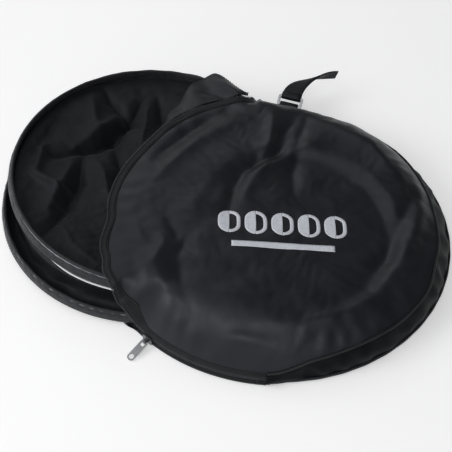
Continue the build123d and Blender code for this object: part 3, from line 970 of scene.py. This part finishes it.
def panel_height(x, y, radius, angle):
    edge, edge_height = panel_edge(angle)
    start = np.minimum(BAG - eased(SLOPE_START, angle) - 6, edge - 14)
    r = radius * edge
    t = np.clip((r - start) / (edge - start), 0, 1)
    drop = plateau(edge * np.cos(np.radians(angle))) - edge_height
    z = plateau(x) - drop * (0.35 * t**1.4 + 0.65 * t**2.6)
    held = 1 - radius**12
    for height, width, path in PANEL_FOLDS:
        z = z + crease(x, y, 1.5 * height, width, path) * held
    u, v = x - HOLLOW_X, y - HOLLOW_Y
    hollow = 1 - step(0.86, 1.03, np.hypot(u / HOLLOW_WIDE, v / HOLLOW_LONG))
    z = z - hollow * (3.6 + 2.6 * u / HOLLOW_WIDE + 2.4 * v / HOLLOW_LONG)
    along = np.radians(angle) * edge
    near = step(0.84, 0.97, radius) * (1 - step(0.97, 1.0, radius))
    closed = np.clip(step(236, 246, angle) + (1 - step(100, 112, angle)), 0, 1)
    tight = 0.35 + 0.65 * step(-0.2, 0.9, ripple(along, 0 * along, 70.0, 8))
    z = z + 0.9 * near * closed * tight * np.sin(along / 3.6 + 2.6 * np.sin(along / 19))
    z = z + 0.9 * near * (1 - closed) * tight * np.sin(along / 6.0 + 2.8 * np.sin(along / 27))
    return z + 0.6 * ripple(x, y, 52.0, 5) * held


def front():
    o, radius = round_piece(
        "front_panel", lambda a: panel_edge(a)[0], panel_height, 130, bag_cloth
    )
    hold = np.where(radius > 0.992, 1.0, 0.2 + 0.35 * step(0.93, 0.99, radius))
    crumple(o, hold, 0.014, 3.0, 5)
    return o


def gusset():
    """Side wall of the bag, bellied out and gathered between the back panel and the front seam."""
    angle = np.linspace(ZIP_BOTTOM, ZIP_TOP + 360, 460)[:, None]
    t = np.linspace(0, 1, 17)[None, :]
    flare = 1 - step(284, 298, angle) * (1 - step(456, 469, angle))
    foot = polar(BAG + 4.6 * flare, angle, 1.4)
    head_radius, head_height = panel_edge(angle)
    head = polar(head_radius + 0.2, angle, head_height - 0.4)
    P = foot + (head - foot) * t[..., None]
    along = np.radians(angle) * BAG
    belly = np.sin(math.pi * t) * (2.6 + 1.4 * ripple(along, 9 * t, 60.0, 21))
    gathers = np.sin(along / 4.2 + 2.2 * np.sin(along / 23) + 1.6 * t)
    folds = np.sin(math.pi * t) ** 0.6 * 0.9 * gathers
    slant = np.sin(math.pi * t) * 1.0 * ripple(along + 18 * t, 20 * t, 24.0, 22)
    P = P + outward(angle) * (belly + folds + slant)[..., None]
    # The wall takes the darker copy of the bag nylon, which is painted shade
    return grid("gusset_wall", P, shaded_wall_cloth)


def back():
    def height(x, y, radius, angle):
        return 1.15 + 0.12 * ripple(x, y, 38.0, 31) * (1 - radius**6)

    o, _ = round_piece("back_panel", lambda a: BAG + 0 * a, height, 90, back_cloth)
    thicken(o, BACK_PLY)
    return o


def seam_frame(angle):
    """Outward and across vectors square to the front seam."""
    ahead = polar(seam_radius(angle + 0.2), angle + 0.2, seam_height(angle + 0.2))
    behind = polar(seam_radius(angle - 0.2), angle - 0.2, seam_height(angle - 0.2))
    along = ahead - behind
    along /= np.linalg.norm(along, axis=-1, keepdims=True)
    out = outward(angle)
    out = out - along * (out * along).sum(-1, keepdims=True)
    out /= np.linalg.norm(out, axis=-1, keepdims=True)
    return out, np.cross(out, along)


front_piece = front()
surface = BVHTree.FromObject(front_piece, bpy.context.evaluated_depsgraph_get())


def on_panel(x, y, lift):
    """Point on the front panel's top over x, y, all in millimetres."""
    hit = surface.ray_cast(Vector((x * MM, y * MM, 0.2)), Vector((0, 0, -1)))[0]
    z = hit.z / MM if hit else float(plateau(x))
    return (x, y, z + lift)


thicken(front_piece, PANEL_PLY)
smooth_out(front_piece)
stand_for(front_piece, "bag", "bag_cloth", "bag_front_panel")

gusset_piece = gusset()
thicken(gusset_piece, PANEL_PLY)
stand_for(gusset_piece, "bag", "bag_cloth", "bag_gusset")
back_piece = stand_for(back(), "bag", "bag_cloth", "bag_back_panel")

ring_angle = np.linspace(0, 360, 361)[:-1]
wave = 0.12 * np.sin(np.radians(ring_angle * 47))
edge_tape = tube(
    "edge_binding_tape", polar(BAG + 0.7 + wave, ring_angle, 1.25), outward(ring_angle), UP,
    1.1, 1.2, binding_cloth, wrap=True, power=0.8,
)
stand_for(edge_tape, "bag", "bag_cloth", "bag_edge_binding")

pipe_angle = np.linspace(ZIP_BOTTOM, ZIP_TOP + 360, 420)
pipe_out, pipe_across = seam_frame(pipe_angle)
pipe_radius, pipe_height = panel_edge(pipe_angle)
pipe_line = polar(pipe_radius, pipe_angle, pipe_height) + pipe_out * 0.7
pipe = capped(tube("piping_cord", pipe_line, pipe_out, pipe_across, 1.0, 1.0, cord_cloth))
stand_for(pipe, "bag", "bag_cloth", "front_piping")

# ---- Zip ---------------------------------------------------------------------------------

zip_angle = np.linspace(ZIP_TOP, ZIP_BOTTOM, 420)


def turned(stations, angle, sign):
    """Along and across vectors of a tape's edge, turned up or down from flat."""
    b = np.radians(eased(stations, angle))[..., None]
    out = outward(angle)
    along = out * np.cos(b) + UP * np.sin(b) * sign
    across = out * np.sin(b) * -sign + UP * np.cos(b)
    return along, across


def tape_grid(name, root, edge, along, reach, bow):
    """Tape from its sewn root to the edge line, then on along the turned edge."""
    t = np.linspace(0, 1, 9)[None, :, None]
    flat = root[:, None] + (edge - root)[:, None] * t
    flat = flat + UP * bow * np.sin(math.pi * t)
    hem = edge[:, None] + along[:, None] * np.array([0.35, 0.7, 1.0])[None, :, None] * reach
    return grid(name, np.concatenate([flat, hem], 1), tape_cloth, flip=True)


upper_along, _ = turned(UPPER_TURN, zip_angle, -1)
root_radius, root_height = panel_edge(zip_angle)
root = polar(root_radius - 0.6, zip_angle, root_height + 0.2)
lip_line = lip(zip_angle)
swell = 0.5 * ripple(np.radians(zip_angle) * 150, 0 * zip_angle, 26.0, 41) * (zip_angle < MOUTH_END)
lip_line = lip_line + UP * swell[:, None]
upper_tape = tape_grid("upper_tape", root, lip_line, upper_along, 2.3, 0.5)
thicken(upper_tape, TAPE_PLY)
stand_for(upper_tape, "bag", "zip_tape", "zip_tape_upper")

lower_along, lower_across = turned(LOWER_TURN, zip_angle, 1)
lower_root = polar(BAG + 1.2, zip_angle, 1.6)
lower_edge = polar(ZIP, zip_angle, 0.75)
lower_tape = tape_grid("lower_tape", lower_root, lower_edge, lower_along, LOWER_REACH, 0.1)
thicken(lower_tape, TAPE_PLY)
stand_for(lower_tape, "bag", "zip_tape", "zip_tape_lower")

upper_coil_line = lip_line + upper_along * 3.3
lower_coil_line = lower_edge + lower_along * (LOWER_REACH + 1.0) + lower_across * 0.2
upper_teeth = row("upper_teeth", [(upper_coil_line, upper_along)], 1.35, coil_turn, teeth, 0.02)
stand_for(upper_teeth, "bag", "zip_coil", "zip_coil_upper")
lower_teeth = row("lower_teeth", [(lower_coil_line, lower_along)], 1.35, coil_turn, teeth, 0.02)
stand_for(lower_teeth, "bag", "zip_coil", "zip_coil_lower")

lip_rows = [
    (root + (lip_line - root) * 0.16 + UP * 0.35, upper_along),
    (root + (lip_line - root) * 0.86 + UP * 0.3, upper_along),
]
lip_stitches = row("lip_stitches", lip_rows, 3.1, fine_stitch, thread)
stand_for(lip_stitches, "bag", "zip_tape")
edge_angle = np.linspace(0, 360, 721)
edge_rows = [(polar(BAG + 0.8, edge_angle, 2.5), outward(edge_angle))]
edge_stitches = row("edge_stitches", edge_rows, 3.2, fine_stitch, thread)
stand_for(edge_stitches, "bag", "bag_cloth")

# ---- Mouth flap --------------------------------------------------------------------------


def placket():
    """Loose flap of cloth at the mouth's upper end."""
    angle = np.linspace(119, 158, 70)
    t = np.linspace(0, 1, 17)[None, :]
    start = lip(angle)
    near = start + outward(angle) * 4.2 + UP * 1.0
    reach = eased(PLACKET_REACH, angle) + 0.6
    far = polar(ZIP - eased(LIP_INSET, angle) + 4.8 + reach, angle, 50.0)
    P = near[:, None] + (far - near)[:, None] * t[..., None]
    x, y = P[..., 0], P[..., 1]
    loose = np.sin(math.pi * np.clip(t * 0.8, 0, 1)) * step(0, 18, reach)[:, None]
    z = 1.6 * loose * np.sin((x * 0.6 + y * 0.8) / 7.0) - 4.2 * t**2 * step(0, 22, reach)[:, None]
    z = z + crease(x, y, 3.2, 4.0, [(-108, 136), (-92, 128), (-72, 118)])
    z = z + crease(x, y, -2.2, 5.0, [(-118, 110), (-100, 116), (-84, 112)])
    P[..., 2] += z
    return grid("placket_flap", P, bag_cloth, flip=True), P


flap, flap_points = placket()
thicken(flap, FLAP_PLY)
smooth_out(flap)
stand_for(flap, "bag", "bag_cloth", "mouth_placket")
hem = flap_points[:, -2] + UP * 0.35
flap_stitches = row("flap_stitches", [(hem, UP)], 3.2, fine_stitch, thread)
stand_for(flap_stitches, "bag", "bag_cloth")

# ---- Wrist strap -------------------------------------------------------------------------

FOLD = math.sqrt(2) * RING_BAR + BAR_GAP  # inside radius of webbing round the ring's bar
tilt_y = np.array([0, math.cos(RING_TILT), math.sin(RING_TILT)])
tilt_z = np.array([0, -math.sin(RING_TILT), math.cos(RING_TILT)])
ring_origin = np.array(RING)


def ribbon(name, line, width, normal, thickness, material, wrap=False):
    """Flat webbing along a line: width and normal are vectors at each point."""
    s = np.array([-1, -0.97, -0.5, 0, 0.5, 0.97, 1, 0.97, 0.5, 0, -0.5, -0.97])
    r = np.array([0, 0.9, 1, 1, 1, 0.9, 0, -0.9, -1, -1, -1, -0.9]) * thickness / 2
    P = line[:, None] + s[None, :, None] * width[:, None] + r[None, :, None] * normal[:, None]
    return grid(name, P, material, wrap_u=wrap, wrap_v=True)


def strap_line():
    """The strap's middle line, half-width and normal, out from the ring's outer bar."""
    t = np.linspace(0, 1, 60)
    start = ring_origin + tilt_y * 9.0
    travel = FOLD + BAR_GAP + t * STRAP_LENGTH
    centre = start + np.stack([34.0 * t * t, travel * 0.78, travel * 0.42 - 12 * t * t], -1)
    turn = np.radians(74.0 * t * t)
    half = STRAP_HALF * (1 - 0.42 * t**1.5)
    width = np.stack([np.cos(turn), 0 * t, np.sin(turn)], -1) * half[:, None]
    n = np.stack([-np.sin(turn) * 0.8, -0.47 + 0 * t, np.cos(turn) * 0.8], -1)
    return t, start, centre, width, n / np.linalg.norm(n, axis=1, keepdims=True)


def webbing_loop():
    """Both plies of the strap: round the ring's bar, out, folded at the tip and back."""
    t, start, centre, width, n = strap_line()
    gap = (0.62 + 0.5 * np.sin(math.pi * t) ** 2 + 1.3 * t**6)[:, None]
    gap[:6] = np.linspace(FOLD + STRAP_PLY / 2, 0.75, 6)[:, None]
    top = centre + n * gap
    low = centre - n * gap
    ahead = centre[-1] - centre[-2]
    ahead /= np.linalg.norm(ahead)
    bends = np.radians([60, 30, 0, -30, -60])
    upward, onward = n[-1] * gap[-1], ahead * gap[-1]
    tip = [centre[-1] + upward * math.sin(b) + onward * math.cos(b) for b in bends]
    tip_normal = [n[-1] * math.sin(b) + ahead * math.cos(b) for b in bends]
    wrap = FOLD + STRAP_PLY / 2
    wraps = np.radians([-120, -150, 180, 150, 120])
    bar = [start + (tilt_y * math.cos(b) + tilt_z * math.sin(b)) * wrap for b in wraps]
    bar_normal = [tilt_y * math.cos(b) + tilt_z * math.sin(b) for b in wraps]
    line = np.concatenate([top, tip, low[::-1], bar])
    normal = np.concatenate([n, tip_normal, -n[::-1], bar_normal])
    wide = np.concatenate([width, [width[-1]] * 5, width[::-1], [width[0]] * 5])
    return ribbon("hand_webbing", line, wide, normal, STRAP_PLY, webbing, wrap=True)


hand = webbing_loop()
stand_for(hand, "strap", "webbing", "hand_strap")

_, _, centre, width, n = strap_line()
box_rows = []
for k in (6, 16):
    side = np.linspace(-0.86, 0.86, 24)[:, None]
    box_rows.append((centre[k] + width[k] * side + n[k] * 1.55, n[k]))
for side in (-0.86, 0.86):
    box_rows.append((centre[6:17] + width[6:17] * side + n[6:17] * 1.75, n[6:17]))
strap_stitches = row("strap_stitches", box_rows, 2.5, fine_stitch, thread)
stand_for(strap_stitches, "strap", "webbing")


def anchor():
    """Short webbing fold that holds the ring's inner bar to the bag's wall."""
    wrap = FOLD + STRAP_PLY / 2
    wraps = np.radians([90, 60, 30, 0, -30, -60, -90])
    bar = [ring_origin + (tilt_y * math.cos(b) + tilt_z * math.sin(b)) * wrap for b in wraps]
    bar_normal = [tilt_y * math.cos(b) + tilt_z * math.sin(b) for b in wraps]
    foot_top = ring_origin + np.array([0, -7.0, 0.9])
    foot_low = ring_origin + np.array([0, -7.0, -0.9])
    upper_half = foot_top * 0.5 + bar[0] * 0.5
    lower_half = foot_low * 0.5 + bar[-1] * 0.5
    line = np.array([foot_top, upper_half, *bar, lower_half, foot_low])
    normal = np.array([UP, UP, *bar_normal, -UP, -UP])
    width = np.broadcast_to(np.array([9.4, 0, 0]), line.shape)
    return capped(ribbon("anchor_webbing", line, width, normal, STRAP_PLY, webbing))


stand_for(anchor(), "bag", "webbing", "strap_anchor_tab")

# ---- Print -------------------------------------------------------------------------------


def print_place(u, v):
    """Point of the print on the panel: u along its line and v up from it."""
    c, s = math.cos(PRINT_TURN), math.sin(PRINT_TURN)
    return on_panel(PRINT_AT[0] + u * c - v * s, PRINT_AT[1] + u * s + v * c, PRINT_LIFT)


def print_patch(points, faces, place, nu, nv):
    """Adds a patch of nu by nv faces, with place giving u, v from shares of its sides."""
    start = len(points)
    for i in range(nu + 1):
        for j in range(nv + 1):
            points.append(print_place(*place(i / nu, j / nv)))
    for i in range(nu):
        for j in range(nv):
            a = start + i * (nv + 1) + j
            faces.append((a, a + nv + 1, a + nv + 2, a + 1))


def print_layer():
    """Row of two-sided oval swatches, half solid and half outline, over a plain bar."""
    points, faces = [], []

    def oval(middle, reach, turn, share):
        stretch = SWATCH_STRETCH * max(-1.0, min(1.0, 4 * math.sin(turn)))
        return middle + reach * share * math.cos(turn), (reach * math.sin(turn) + stretch) * share

    for k in range(SWATCHES):
        middle = (k - (SWATCHES - 1) / 2) * SWATCH_PITCH

        def solid(s, w, middle=middle):
            return oval(middle, SWATCH_HALF, math.pi * (0.5 + w), s)

        def outline(s, w, middle=middle):
            return oval(middle, SWATCH_HALF - SWATCH_LINE * (1 - s), math.pi * (w - 0.5), 1.0)

        print_patch(points, faces, solid, 8, 24)
        print_patch(points, faces, outline, 3, 24)

    def bar(s, w):
        return BAR_LONG * (s - 0.5), BAR_WIDE * (w - 0.5) - BAR_DROP

    print_patch(points, faces, bar, 46, 4)
    faces = np.array(faces)
    points = np.array(points)
    corners = points[faces.ravel()][:, :2] * MM
    return piece("print_layer", points, faces, corners, ink)


mark = print_layer()
normals = np.zeros(len(mark.data.polygons) * 3)
mark.data.polygons.foreach_get("normal", normals)
if normals.reshape(-1, 3)[:, 2].mean() < 0:
    mark.data.flip_normals()
thicken(mark, 0.12)
stand_for(mark, "bag", "print", "printed_mark")

# ---- Machined and pressed parts ----------------------------------------------------------


def dress(name, material, edge):
    """A CAD part keeps its shape: its edges are eased and it gets its finish."""
    o = nodes[name]
    weld = o.modifiers.new("weld", "WELD")
    weld.merge_threshold = 0.00001
    if edge:
        bevel = o.modifiers.new("eased_edges", "BEVEL")
        bevel.width = edge * MM
        bevel.segments = 3
        bevel.limit_method = "ANGLE"
        bevel.angle_limit = math.radians(35)
    o.data.materials.clear()
    o.data.materials.append(material)


dress("slider_body", zinc, 0.25)
dress("slider_crown", zinc, 0.25)
dress("pull_tab", nickel, 0.3)
dress("zip_bottom_stop", zinc, 0.3)
dress("zip_top_stops", zinc, 0.2)
dress("strap_ring", ring_steel, 0.5)
dress("hoop_spring", spring_steel, 0)
dress("hoop_ferrule", spring_steel, 0.1)

# ---- Floor, light and camera -------------------------------------------------------------

FLOOR_GAP, FLOOR_HALF = 0.6, 6.0  # millimetres below the part, and metres each way


def floor():
    """Plain pale table under the part."""
    f = Finish("pale_floor")
    where = f.place(False)
    tone = f.tint(f.noise(where, 3.0), [(0.0, (0.86, 0.86, 0.87)), (1.0, (0.9, 0.9, 0.9))])
    f.join(tone, f.shader.inputs["Base Color"])
    f.shader.inputs["Roughness"].default_value = 0.7
    f.shader.inputs["Emission Color"].default_value = (1, 1, 1, 1)
    f.shader.inputs["Emission Strength"].default_value = 0.3
    mesh = bpy.data.meshes.new("floor")
    top, side = -FLOOR_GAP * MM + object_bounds()[0].z, FLOOR_HALF
    corners = [(-side, -side, top), (side, -side, top), (side, side, top), (-side, side, top)]
    mesh.from_pydata(corners, [], [(0, 1, 2, 3)])
    mesh.materials.append(f.material)
    o = link(bpy.data.objects.new("floor", mesh))
    o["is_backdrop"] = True


def lamp(name, place, target, size, power):
    """Soft box: place and target in metres, size its sides, power in watts."""
    data = bpy.data.lights.new(name, "AREA")
    data.shape = "RECTANGLE"
    data.size, data.size_y = size
    data.energy = power
    o = link(bpy.data.objects.new(name, data))
    o.location = place
    o.rotation_euler = (Vector(target) - Vector(place)).to_track_quat("-Z", "Y").to_euler()


floor()
lamp("key", (-1.25, -0.85, 0.95), (-0.05, 0, 0), (0.9, 0.7), 9)
lamp("top", (0.1, -0.9, 1.4), (0, -0.05, 0), (0.8, 0.5), 4)
lamp("sheen", (-0.36, 0.55, 0.62), (-0.12, 0.03, 0.05), (0.36, 0.3), 0.36)


def studio_walls(tree):
    """Bright walls in front and to the left, and darker ones behind and to the right."""
    place = tree.nodes.new("ShaderNodeTexCoord")
    lean_to = tree.nodes.new("ShaderNodeVectorMath")
    lean_to.operation = "DOT_PRODUCT"
    lean_to.inputs[1].default_value = (-0.8, -0.6, 0.0)
    ramp = tree.nodes.new("ShaderNodeValToRGB")
    shift = tree.nodes.new("ShaderNodeMapRange")
    shift.inputs["From Min"].default_value = -0.3
    shift.inputs["From Max"].default_value = 0.0
    ramp.color_ramp.elements[0].color = (0.16, 0.16, 0.17, 1)
    ramp.color_ramp.elements[1].color = (1, 1, 1, 1)
    tree.links.new(place.outputs["Generated"], lean_to.inputs[0])
    tree.links.new(lean_to.outputs["Value"], shift.inputs["Value"])
    tree.links.new(shift.outputs["Result"], ramp.inputs["Fac"])
    tree.links.new(ramp.outputs["Color"], tree.nodes["Background"].inputs["Color"])


world = bpy.data.worlds.new("studio")
world.use_nodes = True
studio_walls(world.node_tree)
world.node_tree.nodes["Background"].inputs["Strength"].default_value = 0.62
bpy.context.scene.world = world

AZIMUTH, ELEVATION, DISTANCE = math.radians(19.36), math.radians(49.32), 0.98884
AIM = Vector((-0.04177, -0.02123, 0.020))
back_way = Vector((
    math.sin(AZIMUTH) * math.cos(ELEVATION),
    -math.cos(AZIMUTH) * math.cos(ELEVATION),
    math.sin(ELEVATION),
))
camera_data = bpy.data.cameras.new("camera")
camera_data.lens = 85
camera_data.sensor_width = 36
camera = link(bpy.data.objects.new("camera", camera_data))
camera.location = AIM + back_way * DISTANCE
camera.rotation_euler = (-back_way).to_track_quat("-Z", "Y").to_euler()
bpy.context.scene.camera = camera
bpy.context.scene.view_settings.view_transform = "Standard"
